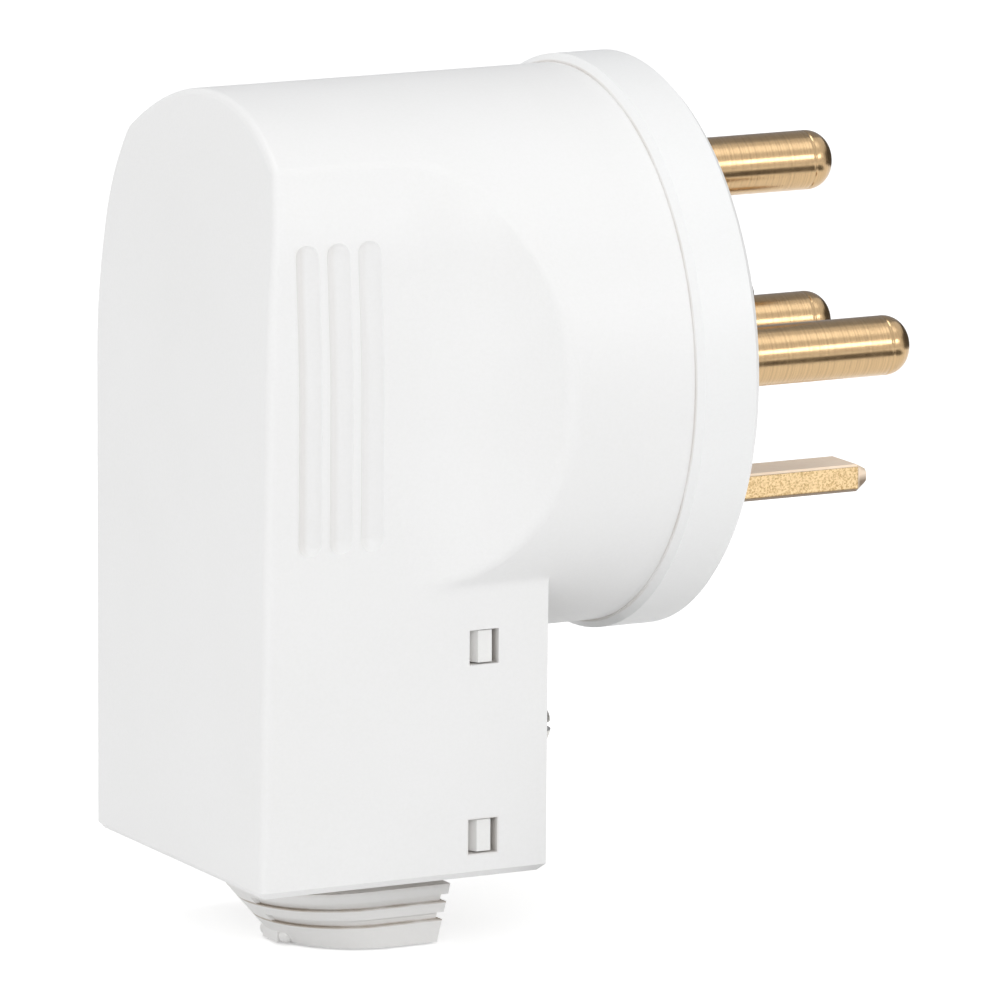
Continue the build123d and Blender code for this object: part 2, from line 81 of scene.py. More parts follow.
def add(tree, kind, **values):
    """Add a node; plain names set its properties, and names of inputs set their values."""
    node = tree.nodes.new(kind)
    for name, value in values.items():
        if hasattr(node, name):
            setattr(node, name, value)
        else:
            node.inputs[name.replace("_", " ")].default_value = value
    return node


def join(tree, source, target):
    """Link an output socket to an input socket, or set the input to a number or a colour."""
    if isinstance(source, (int, float, tuple)):
        target.default_value = source
    else:
        tree.links.new(source, target)


def dress(part, material):
    """Give a part of the engineering model one material, in place of any that it has."""
    nodes[part].data.materials.clear()
    nodes[part].data.materials.append(material)


print("helpers ready: start_material, add, join, dress")


# %% [markdown]
# A finish that changes over a surface is worked out from numbers: sums, ranges, noise, and
# the place on the object. The place is read from the Object coordinates, because they stay
# fixed to the object however it is turned, and need no unwrapping. Each helper adds its nodes
# and returns the socket with the answer, so one helper's answer can be the next one's input.

# %% Helpers for numbers, colours and places
def arithmetic(tree, operation, first, second=0.0, clamp=False):
    """Add a Math node and feed it two sockets or numbers."""
    node = add(tree, "ShaderNodeMath", operation=operation, use_clamp=clamp)
    join(tree, first, node.inputs[0])
    join(tree, second, node.inputs[1])
    return node.outputs[0]


def blend_colours(tree, factor, first, second):
    """Add a Mix node that goes from one colour to another with a factor."""
    node = add(tree, "ShaderNodeMix", data_type="RGBA")
    # A Mix node has inputs for every type of data; the two colours are inputs 6 and 7.
    for index, value in ((0, factor), (6, first), (7, second)):
        join(tree, value, node.inputs[index])
    return node.outputs[2]


def stretch(tree, value, low, high, to_low=0.0, to_high=1.0):
    """Map a value from one range to another and clamp it."""
    node = add(tree, "ShaderNodeMapRange", clamp=True)
    for index, source in enumerate((value, low, high, to_low, to_high)):
        join(tree, source, node.inputs[index])
    return node.outputs[0]


def near_value(tree, value, centre, half, soft):
    """Give 1 within half of a centre, and fade to 0 over soft; all three in millimetres."""
    offset = arithmetic(tree, "SUBTRACT", value, centre * mm)
    offset = arithmetic(tree, "ABSOLUTE", offset)
    return stretch(tree, offset, (half + soft) * mm, half * mm)


def noise(tree, where, scale, detail=2.0, roughness=0.5):
    """Add a noise texture on given coordinates and return its value."""
    node = add(tree, "ShaderNodeTexNoise", Scale=scale, Detail=detail, Roughness=roughness)
    join(tree, where, node.inputs["Vector"])
    return node.outputs["Fac"]


def object_axes(tree):
    """Return the Object coordinates, and their single values under the names X, Y and Z."""
    where = add(tree, "ShaderNodeTexCoord").outputs["Object"]
    split = add(tree, "ShaderNodeSeparateXYZ")
    join(tree, where, split.inputs[0])
    return where, split.outputs


def add_relief(tree, shader, height, strength, distance):
    """Send a height through a Bump node to the shader; the distance is in metres."""
    relief = add(tree, "ShaderNodeBump", Strength=strength, Distance=distance)
    join(tree, height, relief.inputs["Height"])
    join(tree, relief.outputs["Normal"], shader.inputs["Normal"])


print("helpers ready: arithmetic, blend_colours, stretch, near_value, noise, object_axes")


# %% [markdown]
# Moulded plastic is never quite even. The mould's steel leaves a very fine grain, the walls
# shrink a little where they are thick, which makes the gloss wave, and handling leaves a few
# faint grey specks. All the white parts share these effects, so they go into one node group
# with inputs for the grain's size and the specks' strength, and outputs for a height, a shade
# and a change of roughness.

# %% Node group for the moulded skin
def start_group(name, inputs, outputs):
    """Make a node group whose inputs are numbers with a first value, and outputs numbers."""
    tree = bpy.data.node_groups.new(name, "ShaderNodeTree")
    for label, value in inputs:
        socket = tree.interface.new_socket(label, in_out="INPUT", socket_type="NodeSocketFloat")
        socket.default_value = value
    for label in outputs:
        tree.interface.new_socket(label, in_out="OUTPUT", socket_type="NodeSocketFloat")
    return tree, tree.nodes.new("NodeGroupInput"), tree.nodes.new("NodeGroupOutput")


skin, skin_in, skin_out = start_group(
    "moulded skin", [("Grain Scale", 3200.0), ("Speck Amount", 0.3)],
    ["Height", "Shade", "Roughness Shift"])
where = add(skin, "ShaderNodeTexCoord").outputs["Object"]
grain = add(skin, "ShaderNodeTexNoise", Detail=3.0, Roughness=0.6)
join(skin, where, grain.inputs["Vector"])
join(skin, skin_in.outputs["Grain Scale"], grain.inputs["Scale"])
waves = noise(skin, where, 55.0)
blotches = noise(skin, where, 160.0, 4.0, 0.7)
specks = add(skin, "ShaderNodeTexVoronoi", feature="F1", Scale=420.0)
join(skin, where, specks.inputs["Vector"])

height = arithmetic(skin, "MULTIPLY", grain.outputs["Fac"], 0.5)
height = arithmetic(skin, "ADD", height, arithmetic(skin, "MULTIPLY", waves, 0.5))
join(skin, height, skin_out.inputs["Height"])

speck = stretch(skin, specks.outputs["Distance"], 0.09, 0.03)
speck = arithmetic(skin, "MULTIPLY", speck, stretch(skin, blotches, 0.66, 0.72))
speck = arithmetic(skin, "MULTIPLY", speck, skin_in.outputs["Speck Amount"])
shade = arithmetic(skin, "ADD", speck, stretch(skin, waves, 0.3, 0.7, 0.0, 0.25))
grain_shade = stretch(skin, grain.outputs["Fac"], 0.35, 0.7, 0.0, 0.25)
shade = arithmetic(skin, "ADD", shade, grain_shade, clamp=True)
join(skin, shade, skin_out.inputs["Shade"])
join(skin, stretch(skin, blotches, 0.35, 0.75, -0.03, 0.04), skin_out.inputs["Roughness Shift"])
print("moulded skin group has", len(skin.nodes), "nodes")


# %% [markdown]
# All the white parts follow one recipe. It mixes the part's clean white towards a duller one
# by the skin's shade, and sends the skin's height through a Bump node. Its last input is a
# function that marks where dirt has gathered and where shade is painted, both mixed in as a
# warm brown. The gloss is set under Blender's usual level, because the fine grain breaks up the
# shine.

# %% Recipe for the white plastics
# A warm brown for both real dirt and painted shade.
grime_and_shade = (0.42, 0.34, 0.26, 1)
plastic_ior, plastic_specular = 1.5, 0.3
grain_depth = 0.1 * mm


def white_plastic(name, white, dull, roughness, bump, grain_scale=3200.0, specks=0.3, dirt_and_shade=None):
    """Make a moulded plastic from its clean colour, its dulled colour and its gloss."""
    material, tree, shader = start_material(name)
    group = add(tree, "ShaderNodeGroup", node_tree=skin)
    group.inputs["Grain Scale"].default_value = grain_scale
    group.inputs["Speck Amount"].default_value = specks
    colour = blend_colours(tree, group.outputs["Shade"], white, dull)
    if dirt_and_shade is not None:
        # Mixes in the dirt and the painted shade.
        colour = blend_colours(tree, dirt_and_shade(tree), colour, grime_and_shade)
    join(tree, colour, shader.inputs["Base Color"])
    gloss = arithmetic(tree, "ADD", group.outputs["Roughness Shift"], roughness)
    join(tree, gloss, shader.inputs["Roughness"])
    add_relief(tree, shader, group.outputs["Height"], bump, grain_depth)
    shader.inputs["IOR"].default_value = plastic_ior
    shader.inputs["Specular IOR Level"].default_value = plastic_specular
    return material


print("grime colour:", grime_and_shade[:3])


# %% [markdown]
# Warm brown is mixed in where the plastic is to look darker. Dirt stays where a cloth doesn't
# reach, in the seam behind the flange. Inside the latch windows, on the rear walls of the
# finger grooves and round the cable outlet's neck the brown is painted shade, and on the
# ledges of the outlet's rings it is dirt and the shade of their corners together. It could be
# painted on by hand, but a mask worked out from the place needs no image and stays sharp
# close up. Each function gives 0 where the plastic is clean and unshaded, and more the darker
# it is to be. Noise makes the seam's and the outlet's marks patchy.

# %% Masks for the dirt and the painted shade, with places in millimetres
seam_x = -6.9
window_x, window_half_length = -25.8, 1.7
window_levels, window_half_height = (-25.9, -44.9), 1.85
window_mouth, window_inside = 19.6, 18.6
groove_walls = ((-45.5, 0.14), (-42.15, 0.10), (-38.8, 0.06))
groove_half_length = 14.6
ledge_levels = (-53.5, -55.4)
neck_low, neck_high = -52.0, -50.6


def seam_dirt(tree):
    """Mark the joint between the collar and the pin carrier's flange."""
    where, axes = object_axes(tree)
    line = near_value(tree, axes["X"], seam_x, 0.03, 0.10)
    patchy = stretch(tree, noise(tree, where, 120.0, 3.0), 0.3, 0.7, 0.1, 0.35)
    return arithmetic(tree, "MULTIPLY", line, patchy)


def window_shade(tree, axes):
    """Mark painted shade on the walls inside the four latch windows, darker the deeper they lie."""
    beside = near_value(tree, axes["X"], window_x, window_half_length, 0.1)
    upper, lower = (
        near_value(tree, axes["Z"], level, window_half_height, 0.1) for level in window_levels)
    window = arithmetic(tree, "MULTIPLY", beside, arithmetic(tree, "MAXIMUM", upper, lower))
    aside = arithmetic(tree, "ABSOLUTE", axes["Y"])
    # Painted shade: the deeper inside the window, the darker the wall.
    depth = stretch(tree, aside, window_mouth * mm, window_inside * mm, 0.0, 0.35)
    return arithmetic(tree, "MULTIPLY", window, depth)


def groove_shade(tree, axes):
    """Mark painted shade on the rear wall of each finger groove; the rearmost is the darkest."""
    # Painted shade on each groove's rear wall, strongest in the rearmost.
    grooves = 0.0
    for groove_x, amount in groove_walls:
        line = near_value(tree, axes["X"], groove_x, 0.3, 0.5)
        line = arithmetic(tree, "MULTIPLY", line, amount)
        grooves = arithmetic(tree, "MAXIMUM", grooves, line)
    level = near_value(tree, axes["Z"], 0.0, groove_half_length, 0.7)
    return arithmetic(tree, "MULTIPLY", grooves, level)


def housing_dirt_and_shade(tree):
    """Mark the dirt in the seam, and the painted shade in the finger grooves and the latch windows.
    """
    _, axes = object_axes(tree)
    marks = arithmetic(tree, "MAXIMUM", window_shade(tree, axes), groove_shade(tree, axes))
    return arithmetic(tree, "MAXIMUM", marks, seam_dirt(tree))


def outlet_dirt_and_shade(tree):
    """Mark the ledges of the outlet's rings, for dirt and the shade in their corners, and paint
    shadow on its neck under the housing.
    """
    where, axes = object_axes(tree)
    # The ring ledges get dirt together with painted shade in their corners.
    first, second = (near_value(tree, axes["Z"], level, 0.03, 0.16) for level in ledge_levels)
    ledges = arithmetic(tree, "MULTIPLY", arithmetic(tree, "MAXIMUM", first, second), 0.8)
    # Painted shadow on the neck, darker towards the housing above it.
    neck = stretch(tree, axes["Z"], neck_low * mm, neck_high * mm, 0.0, 0.8)
    patchy = stretch(tree, noise(tree, where, 260.0, 3.0), 0.3, 0.6, 0.4, 1.0)
    return arithmetic(tree, "MULTIPLY", arithmetic(tree, "MAXIMUM", ledges, neck), patchy)


print("dirt masks ready for the seam, the windows, the grooves and the outlet")


# %% [markdown]
# Every white part gets its own material from the recipe, because each was moulded on its own:
# the housing and the front cover in a hard white plastic, the pin carrier in a very similar,
# slightly glossier one, the cable outlet in a softer and more matt one that has yellowed a
# little. The clamp inside is matt too, and greyer.

# %% White plastics
plastic_parts = {
    "housing": white_plastic(
        "housing white", (0.88, 0.88, 0.88, 1), (0.82, 0.82, 0.81, 1),
        roughness=0.42, bump=0.16, dirt_and_shade=housing_dirt_and_shade),
    "front_cover": white_plastic(
        "cover white", (0.88, 0.88, 0.87, 1), (0.82, 0.82, 0.80, 1),
        roughness=0.42, bump=0.16),
    "pin_carrier": white_plastic(
        "carrier white", (0.885, 0.89, 0.89, 1), (0.83, 0.83, 0.825, 1),
        roughness=0.38, bump=0.12, dirt_and_shade=seam_dirt),
    "cable_outlet": white_plastic(
        "outlet white", (0.94, 0.935, 0.925, 1), (0.90, 0.89, 0.87, 1),
        roughness=0.55, bump=0.3, grain_scale=2200.0, specks=0.4, dirt_and_shade=outlet_dirt_and_shade),
    "cable_clamp": white_plastic(
        "clamp white", (0.78, 0.78, 0.76, 1), (0.70, 0.69, 0.66, 1),
        roughness=0.5, bump=0.3),
}
for part, material in plastic_parts.items():
    dress(part, material)
    print(material.name, "on", part)


# %% [markdown]
# The round pins are turned from brass bar. The tool leaves rings so fine that they show as a
# silky band across the highlight. Brass darkens unevenly where it has been touched. The rings
# depend only on the place along the pin, which is X, so the network takes X out of the Object
# coordinates and reads noise along that one direction.

# %% Node group for turning marks and tarnish
turning, turning_in, turning_out = start_group(
    "turning marks", [("Ring Scale", 14000.0), ("Tarnish", 0.4)],
    ["Height", "Tarnish Mask", "Roughness Shift"])
where, axes = object_axes(turning)
fine_rings = add(turning, "ShaderNodeTexNoise", noise_dimensions="1D", Detail=2.0)
join(turning, axes["X"], fine_rings.inputs["W"])
join(turning, turning_in.outputs["Ring Scale"], fine_rings.inputs["Scale"])
wide_rings = add(turning, "ShaderNodeTexNoise", noise_dimensions="1D", Scale=4200.0, Detail=2.0)
join(turning, axes["X"], wide_rings.inputs["W"])
stains = noise(turning, where, 520.0, 5.0, 0.65)

fine_height = arithmetic(turning, "MULTIPLY", fine_rings.outputs["Fac"], 0.4)
wide_height = arithmetic(turning, "MULTIPLY", wide_rings.outputs["Fac"], 0.6)
join(turning, arithmetic(turning, "ADD", fine_height, wide_height), turning_out.inputs["Height"])

stain = stretch(turning, stains, 0.60, 0.85, 0.0, 0.6)
ring_stain = stretch(turning, wide_rings.outputs["Fac"], 0.58, 0.34, 0.0, 0.4)
both = arithmetic(turning, "ADD", stain, ring_stain, clamp=True)
tarnish_mask = arithmetic(turning, "MULTIPLY", both, turning_in.outputs["Tarnish"])
join(turning, tarnish_mask, turning_out.inputs["Tarnish Mask"])
gloss_shift = stretch(turning, stains, 0.3, 0.7, -0.03, 0.07)
join(turning, gloss_shift, turning_out.inputs["Roughness Shift"])
print("turning marks group has", len(turning.nodes), "nodes")


# %% [markdown]
# The pins, the threaded bushes, the screws and the washers are all turned, so one recipe
# makes their four metals. A metal's colour is the colour of its reflections: bright where the
# metal is clean, darker where it has tarnished. The pins are the smoothest, with the clearest
# rings, because their shine is what the eye goes to. The plated screws and washers are grey.

# %% Turned brass and plated steel
ring_depth = 0.02 * mm


def turned_metal(name, bright, dull, roughness, bump, tarnish, ring_scale=14000.0):
    """Make a lathe-turned metal from its bright colour, its tarnished colour and its gloss."""
    material, tree, shader = start_material(name)
    group = add(tree, "ShaderNodeGroup", node_tree=turning)
    group.inputs["Ring Scale"].default_value = ring_scale
    group.inputs["Tarnish"].default_value = tarnish
    colour = blend_colours(tree, group.outputs["Tarnish Mask"], bright, dull)
    join(tree, colour, shader.inputs["Base Color"])
    gloss = arithmetic(tree, "ADD", group.outputs["Roughness Shift"], roughness)
    join(tree, gloss, shader.inputs["Roughness"])
    add_relief(tree, shader, group.outputs["Height"], bump, ring_depth)
    shader.inputs["Metallic"].default_value = 1.0
    return material


pin_brass = turned_metal(
    "pin brass", (0.545, 0.38, 0.21, 1), (0.33, 0.225, 0.12, 1),
    roughness=0.19, bump=0.75, tarnish=0.8)
insert_brass = turned_metal(
    "insert brass", (0.62, 0.44, 0.22, 1), (0.36, 0.25, 0.12, 1),
    roughness=0.34, bump=0.3, tarnish=0.6)
screw_steel = turned_metal(
    "screw steel", (0.55, 0.54, 0.51, 1), (0.28, 0.26, 0.23, 1),
    roughness=0.26, bump=0.2, tarnish=0.5)
washer_steel = turned_metal(
    "washer steel", (0.55, 0.54, 0.50, 1), (0.38, 0.36, 0.31, 1),
    roughness=0.36, bump=0.15, tarnish=0.5)
metal_parts = {
    insert_brass: [n for n in nodes if n.startswith("cover_insert")],
    washer_steel: [n for n in nodes if n.startswith("terminal_washer")],
    screw_steel: [n for n in nodes if "_screw_" in n],
    pin_brass: [n for n in nodes if n.endswith("_pin") or n.startswith("phase_pin")],
}
for material, parts in metal_parts.items():
    for part in parts:
        dress(part, material)
    print(material.name, "on", len(parts), "parts")


# %% [markdown]
# The pins are drawn again as grids of points: rows along the pin, columns round it. Blender's
# Screw modifier could turn an outline too, but here the whole surface is one formula, which
# numpy works out for all points at once. Rows that shrink to the axis leave points on top of
# each other, so doubled points are merged, which closes the ends, and the normals are then
# turned outwards. Edges sharper than an angle stay crisp, and all others are shaded smooth.

# %% Helpers for surfaces made of rows and columns
def make_piece(name, points, faces, material, sharp=32.0):
    """Make a closed object, shaded smooth, from arrays of points (in metres) and faces."""
    mesh = bpy.data.meshes.new(name)
    mesh.from_pydata(points.tolist(), [], faces.tolist())
    work = bmesh.new()
    work.from_mesh(mesh)
    bmesh.ops.remove_doubles(work, verts=work.verts, dist=1e-7)
    bmesh.ops.recalc_face_normals(work, faces=work.faces)
    work.to_mesh(mesh)
    work.free()
    mesh.shade_smooth()
    mesh.set_sharp_from_angle(angle=math.radians(sharp))
    mesh.materials.append(material)
    piece = bpy.data.objects.new(name, mesh)
    bpy.context.scene.collection.objects.link(piece)
    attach(piece, "root")
    return piece


def ring_faces(rows, columns):
    """Return a tube's quads: (i, j) (i, j+1) (i+1, j+1) (i+1, j), where j+1 runs round to 0."""
    i, j = np.meshgrid(np.arange(rows - 1), np.arange(columns), indexing="ij")
    after = (j + 1) % columns
    quads = [i * columns + j, i * columns + after, (i + 1) * columns + after, (i + 1) * columns + j]
    return np.stack(quads, axis=-1).reshape(-1, 4)


def turned_piece(name, outline, place, material, segments=128):
    """Turn an outline (x, r) about a line along X through place (y0, z0), in millimetres.

    The point at angle t is P = (x, y0 + r cos t, z0 + r sin t).
    """
    x, r = np.array(outline, dtype=float).T
    t = np.linspace(0.0, 2.0 * np.pi, segments, endpoint=False)
    points = np.stack([
        np.repeat(x[:, None], segments, axis=1),
        place[0] + r[:, None] * np.cos(t),
        place[1] + r[:, None] * np.sin(t)], axis=-1).reshape(-1, 3) * mm
    return make_piece(name, points, ring_faces(len(x), segments), material)


print("surface helpers ready: make_piece, ring_faces, turned_piece")


# %% [markdown]
# The four round pins catch the eye, so each gets far more points than the engineering model
# needs. The outline is a list of points along the pin, from its tapped hole round the head,
# over the seat and the neck inside the carrier, to the free part, with one shallow ring that
# the tool leaves where the tip begins, and the tip's arc. It is written once, because the pins
# differ only in their place. Each new surface stands in for its part of the model.

# %% Round pins
pin_radius, pin_reach, tip_round = 3.0, 22.6, 2.4
head_back, head_front, head_radius, head_bevel = -12.0, -8.0, 4.2, 0.1
hole_end, hole_radius = -6.5, 1.76
seat_front, seat_radius, neck_radius = -4.0, 3.7, 2.4
body_end, mark_start, mark_step, mark_radius = 19.6, 19.75, 0.1, 2.95

pin_head = [
    (hole_end, 0.0), (hole_end, hole_radius), (head_back, hole_radius),
    (head_back, head_radius - head_bevel), (head_back + head_bevel, head_radius),
    (head_front, head_radius)]
pin_seat = [
    (head_front, seat_radius), (seat_front, seat_radius), (seat_front, neck_radius),
    (0.0, neck_radius), (0.0, pin_radius)]
pin_body = [(x, pin_radius) for x in np.linspace(0.0, body_end, 60)[1:]]
ring_mark = [
    (mark_start, pin_radius), (mark_start + mark_step, mark_radius),
    (mark_start + 2 * mark_step, mark_radius), (mark_start + 3 * mark_step, pin_radius)]
tip_x, tip_r = pin_reach - tip_round, pin_radius - tip_round
pin_tip = [
    (tip_x + tip_round * math.sin(a), tip_r + tip_round * math.cos(a))
    for a in np.linspace(0.0, np.pi / 2, 28)]
pin_outline = pin_head + pin_seat + pin_body + ring_mark + pin_tip + [(pin_reach, 0.0)]
pin_places = {
    "neutral_pin": (0.0, 0.0), "phase_pin_top": (0.0, 16.4),
    "phase_pin_near": (-16.4, 0.0), "phase_pin_far": (16.4, 0.0)}
for name, place in pin_places.items():
    piece = turned_piece(name + "_surface", pin_outline, place, pin_brass)
    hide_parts(name)
    print(piece.name, len(piece.data.vertices), "points")


# %% [markdown]
# The earth pin is cut from rolled strip. Its broad faces keep the mill's satin finish and have
# taken a pinkish tone, while its narrow sides are sheared and rough. The faces could have a
# material each, but the finish is told apart by place, which needs only one: close to the
# bar's sides the network turns to the rough gold. On the bevels below and under the tip it
# turns dark brown, which is painted shade on the faces that look down. The satin scatters
# light almost like paint, so it gets little of the Metallic value, and a faint, dull clear
# coat gives it its soft shine.

# %% Strip brass, with places in millimetres
earth_y, earth_z = 0.0, -16.1
sheared_from, sheared_full = 2.72, 2.78
shade_from, shade_full = -0.95, -1.12
tip_from, tip_full = 24.8, 25.3
tip_above, tip_below = 0.3, -0.4


def strip_masks(tree, axes):
    """Return masks for the bar's sheared sides, and for the painted shade on its lower bevels and
    under its tip.
    """
    aside = arithmetic(tree, "SUBTRACT", axes["Y"], earth_y * mm)
    aside = arithmetic(tree, "ABSOLUTE", aside)
    side = stretch(tree, aside, sheared_from * mm, sheared_full * mm)
    bevel = stretch(tree, axes["Z"], (earth_z + shade_from) * mm, (earth_z + shade_full) * mm)
    ahead = stretch(tree, axes["X"], tip_from * mm, tip_full * mm)
    below = stretch(tree, axes["Z"], (earth_z + tip_above) * mm, (earth_z + tip_below) * mm)
    tip = arithmetic(tree, "MULTIPLY", ahead, below)
    return side, arithmetic(tree, "MAXIMUM", bevel, tip)


def strip_brass():
    """Make the strip brass with satin broad faces and rough sheared sides."""
    material, tree, shader = start_material("earth brass")
    where, axes = object_axes(tree)
    side, painted_shade = strip_masks(tree, axes)
    crumbs = noise(tree, where, 5200.0, 2.0, 0.6)
    rolled = noise(tree, where, 900.0, 4.0, 0.6)
    satin = blend_colours(
        tree, stretch(tree, rolled, 0.35, 0.7), (1.0, 0.83, 0.64, 1), (0.97, 0.77, 0.58, 1))
    sheared = blend_colours(
        tree, stretch(tree, crumbs, 0.34, 0.56), (0.55, 0.36, 0.16, 1), (0.90, 0.68, 0.39, 1))
    colour = blend_colours(tree, side, satin, sheared)
    # Painted shade: the lower bevels and the underside of the tip turn dark brown.
    colour = blend_colours(
        tree, arithmetic(tree, "MULTIPLY", painted_shade, 0.92), colour, (0.16, 0.10, 0.05, 1))
    join(tree, colour, shader.inputs["Base Color"])
    gloss = arithmetic(tree, "ADD", arithmetic(tree, "MULTIPLY", side, 0.06), 0.36)
    join(tree, gloss, shader.inputs["Roughness"])
    coarse = arithmetic(tree, "MULTIPLY", crumbs, side)
    fine = arithmetic(tree, "MULTIPLY", rolled, 0.12)
    add_relief(tree, shader, arithmetic(tree, "ADD", coarse, fine), 0.9, 0.1 * mm)
    join(tree, stretch(tree, side, 0.0, 1.0, 0.1, 1.0), shader.inputs["Metallic"])
    shader.inputs["Coat Weight"].default_value = 0.3
    shader.inputs["Coat Roughness"].default_value = 0.35
    return material


earth_brass = strip_brass()
dress("earth_pin", earth_brass)
print("earth brass has", len(earth_brass.node_tree.nodes), "nodes")


# %% [markdown]
# The bar has bevelled long edges and a bevelled tip, and a wider seat inside the carrier. A
# Bevel modifier on a box would round every edge alike, so the bar is a row of eight-sided
# sections instead, each given by its place, its half width, its half thickness and its bevel.
# A first and a last section of no size close the ends. The bar's tapped head is turned, with
# the outline of the round pins' heads.

# %% Earth pin
def barred_piece(name, sections, material, sharp=20.0):
    """Join eight-sided sections (x, half width w, half thickness t, bevel b), in millimetres.

    A section's corners are (w, t - b) and (w - b, t), mirrored both ways about the pin's line.
    """
    x, w, t, b = np.array(sections, dtype=float).T
    across = np.stack([w, w, w - b, b - w, -w, -w, b - w, w - b], axis=1)
    upward = np.stack([b - t, t - b, t, t, t - b, b - t, -t, -t], axis=1)
    points = np.stack([
        np.repeat(x[:, None], 8, axis=1), earth_y + across, earth_z + upward], axis=-1)
    return make_piece(name, points.reshape(-1, 3) * mm, ring_faces(len(x), 8), material, sharp)


edge = 0.28
seat_section, bar_section = (3.3, 1.9, edge), (2.8, 1.4, edge)
tip_section, end_section, closed = (2.15, 0.75, edge), (2.05, 0.65, edge), (0, 0, 0)
bevel_start, bevel_end, earth_reach = 24.9, 26.2, 26.3
sections = [(head_front, *closed), (head_front, *seat_section), (seat_front, *seat_section)]
sections += [(x, *bar_section) for x in (seat_front, *np.linspace(-3.0, 24.6, 24), bevel_start)]
sections += [(bevel_end, *tip_section), (earth_reach, *end_section), (earth_reach, *closed)]
blade = barred_piece("earth_pin_blade", sections, earth_brass)
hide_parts("earth_pin")
head = turned_piece(
    "earth_pin_head_surface", pin_head + [(head_front, 0.0)], (earth_y, earth_z), pin_brass)
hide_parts("earth_pin")
for piece in (blade, head):
    print(piece.name, len(piece.data.vertices), "points")


# %% [markdown]
# The floor is a plain white sheet. Seen straight by the camera, in a reflection or through
# glass it should be as white as the page, yet it still has to show the plug's soft shadow.
# So its shader adds a plain diffuse surface, which darkens under the plug, to a glow that
# brings the lit part up to white, and Light Path lets only those rays see the glow.

# %% Floor
floor_z = cad_box[0][2] - 0.2 * mm
floor_half = 1.5


def flat_card(name, corners, material):
    """Make a staged four-cornered card from its corner points in metres."""
    mesh = bpy.data.meshes.new(name)
    mesh.from_pydata(corners, [], [(0, 1, 2, 3)])
    mesh.materials.append(material)
    card = bpy.data.objects.new(name, mesh)
    bpy.context.scene.collection.objects.link(card)
    return card


def level_corners(x_from, x_to, y_from, y_to, z):
    """Return the corners of a level rectangle that faces upwards."""
    return [(x_from, y_from, z), (x_to, y_from, z), (x_to, y_to, z), (x_from, y_to, z)]


def seen_directly(tree):
    """Give 1 to camera, mirror and glass rays, and 0 to the rays that carry soft light."""
    path = add(tree, "ShaderNodeLightPath")
    seen = arithmetic(
        tree, "MAXIMUM", path.outputs["Is Camera Ray"], path.outputs["Is Glossy Ray"])
    return arithmetic(tree, "MAXIMUM", seen, path.outputs["Is Transmission Ray"])


def glowing_white(name, base, glow):
    """Make a diffuse white that camera, mirror and glass rays also see glowing."""
    material, tree, shader = start_material(name)
    shader.inputs["Base Color"].default_value = (base, base, base, 1)
    shader.inputs["Roughness"].default_value = 1.0
    shader.inputs["Specular IOR Level"].default_value = 0.0
    light = add(tree, "ShaderNodeEmission", Color=(1, 1, 1, 1))
    join(tree, arithmetic(tree, "MULTIPLY", seen_directly(tree), glow), light.inputs["Strength"])
    total = add(tree, "ShaderNodeAddShader")
    join(tree, shader.outputs[0], total.inputs[0])
    join(tree, light.outputs[0], total.inputs[1])
    join(tree, total.outputs[0], tree.nodes["Material Output"].inputs["Surface"])
    return material


flat_card("floor", level_corners(-floor_half, floor_half, -floor_half, floor_half, floor_z),
          glowing_white("floor white", base=0.9, glow=0.45))
print("floor at", round(floor_z / mm, 2), "mm")


# %% [markdown]
# White plastic wants light from everywhere, so the surroundings are a plain white that does
# most of the work. They are seen at full white, but light the plug at less than that, which
# keeps the white plastic from clipping and leaves room for the lamps to shape it.

# %% World
ambient = 0.62
world = bpy.data.worlds.new("studio")
bpy.context.scene.world = world
world.use_nodes = True
tree = world.node_tree
extra = arithmetic(tree, "MULTIPLY", seen_directly(tree), 1.0 - ambient)
join(tree, arithmetic(tree, "ADD", extra, ambient), tree.nodes["Background"].inputs["Strength"])
tree.nodes["Background"].inputs["Color"].default_value = (1, 1, 1, 1)
print("the surroundings light the plug with a strength of", ambient)


# %% [markdown]
# Five area lamps stand round the plug. Their light is soft because they are wide. Two are
# there for the brass: a low strip near the camera's right and a patch higher up draw its
# bright streaks. The other three, behind the plug, beside it and over it, give each side of
# the white body its own tone, so that its form can be read.

# %% Lamps
def soft_lamp(name, place, aim, width, height, power):
    """Add a rectangular area lamp at a place, turned towards a point."""
    data = bpy.data.lights.new(name, "AREA")
    data.shape = "RECTANGLE"
    data.size, data.size_y, data.energy = width, height, power
    lamp = bpy.data.objects.new(name, data)
    lamp.location = place
    lamp.rotation_euler = (Vector(aim) - Vector(place)).to_track_quat("-Z", "Y").to_euler()
    bpy.context.scene.collection.objects.link(lamp)
    print(name, width, "by", height, "m,", power, "W")


pins_at = Vector((0.011, -0.008, 0.0))
body_at, back_at = (-0.03, 0, 0), (-0.05, 0, 0)
streak_at = pins_at + 0.60 * Vector((0.443, -0.836, 0.323))
patch_at = pins_at + 0.70 * Vector((0.443, -0.342, 0.828))
soft_lamp("streak lamp", streak_at, pins_at, width=0.30, height=0.11, power=0.49)
soft_lamp("upper lamp", patch_at, pins_at, width=0.32, height=0.26, power=0.27)
soft_lamp("rear lamp", (-0.9, -0.10, 0.32), back_at, width=0.6, height=0.6, power=1.2)
soft_lamp("side lamp", (-0.42, -0.74, 0.36), body_at, width=0.3, height=0.3, power=1.22)
soft_lamp("top lamp", (-0.03, 0.05, 0.9), body_at, width=0.4, height=0.4, power=1.45)


# %% [markdown]
# Polished metal in an all-white room looks like paper, which is why photographers stand dark
# cards around it. The cards here do the same job, black ones for the deepest streaks on the
# pins and grey ones for the softer tones. Only reflections see them, so they take no light
# from the plastic, and the camera looks through them.

# %% Dark cards
card_roughness = 0.9


def card_paint(name, colour):
    """Make a matt paint for a card."""
    material, _, shader = start_material(name)
    shader.inputs["Base Color"].default_value = colour
    shader.inputs["Roughness"].default_value = card_roughness
    return material


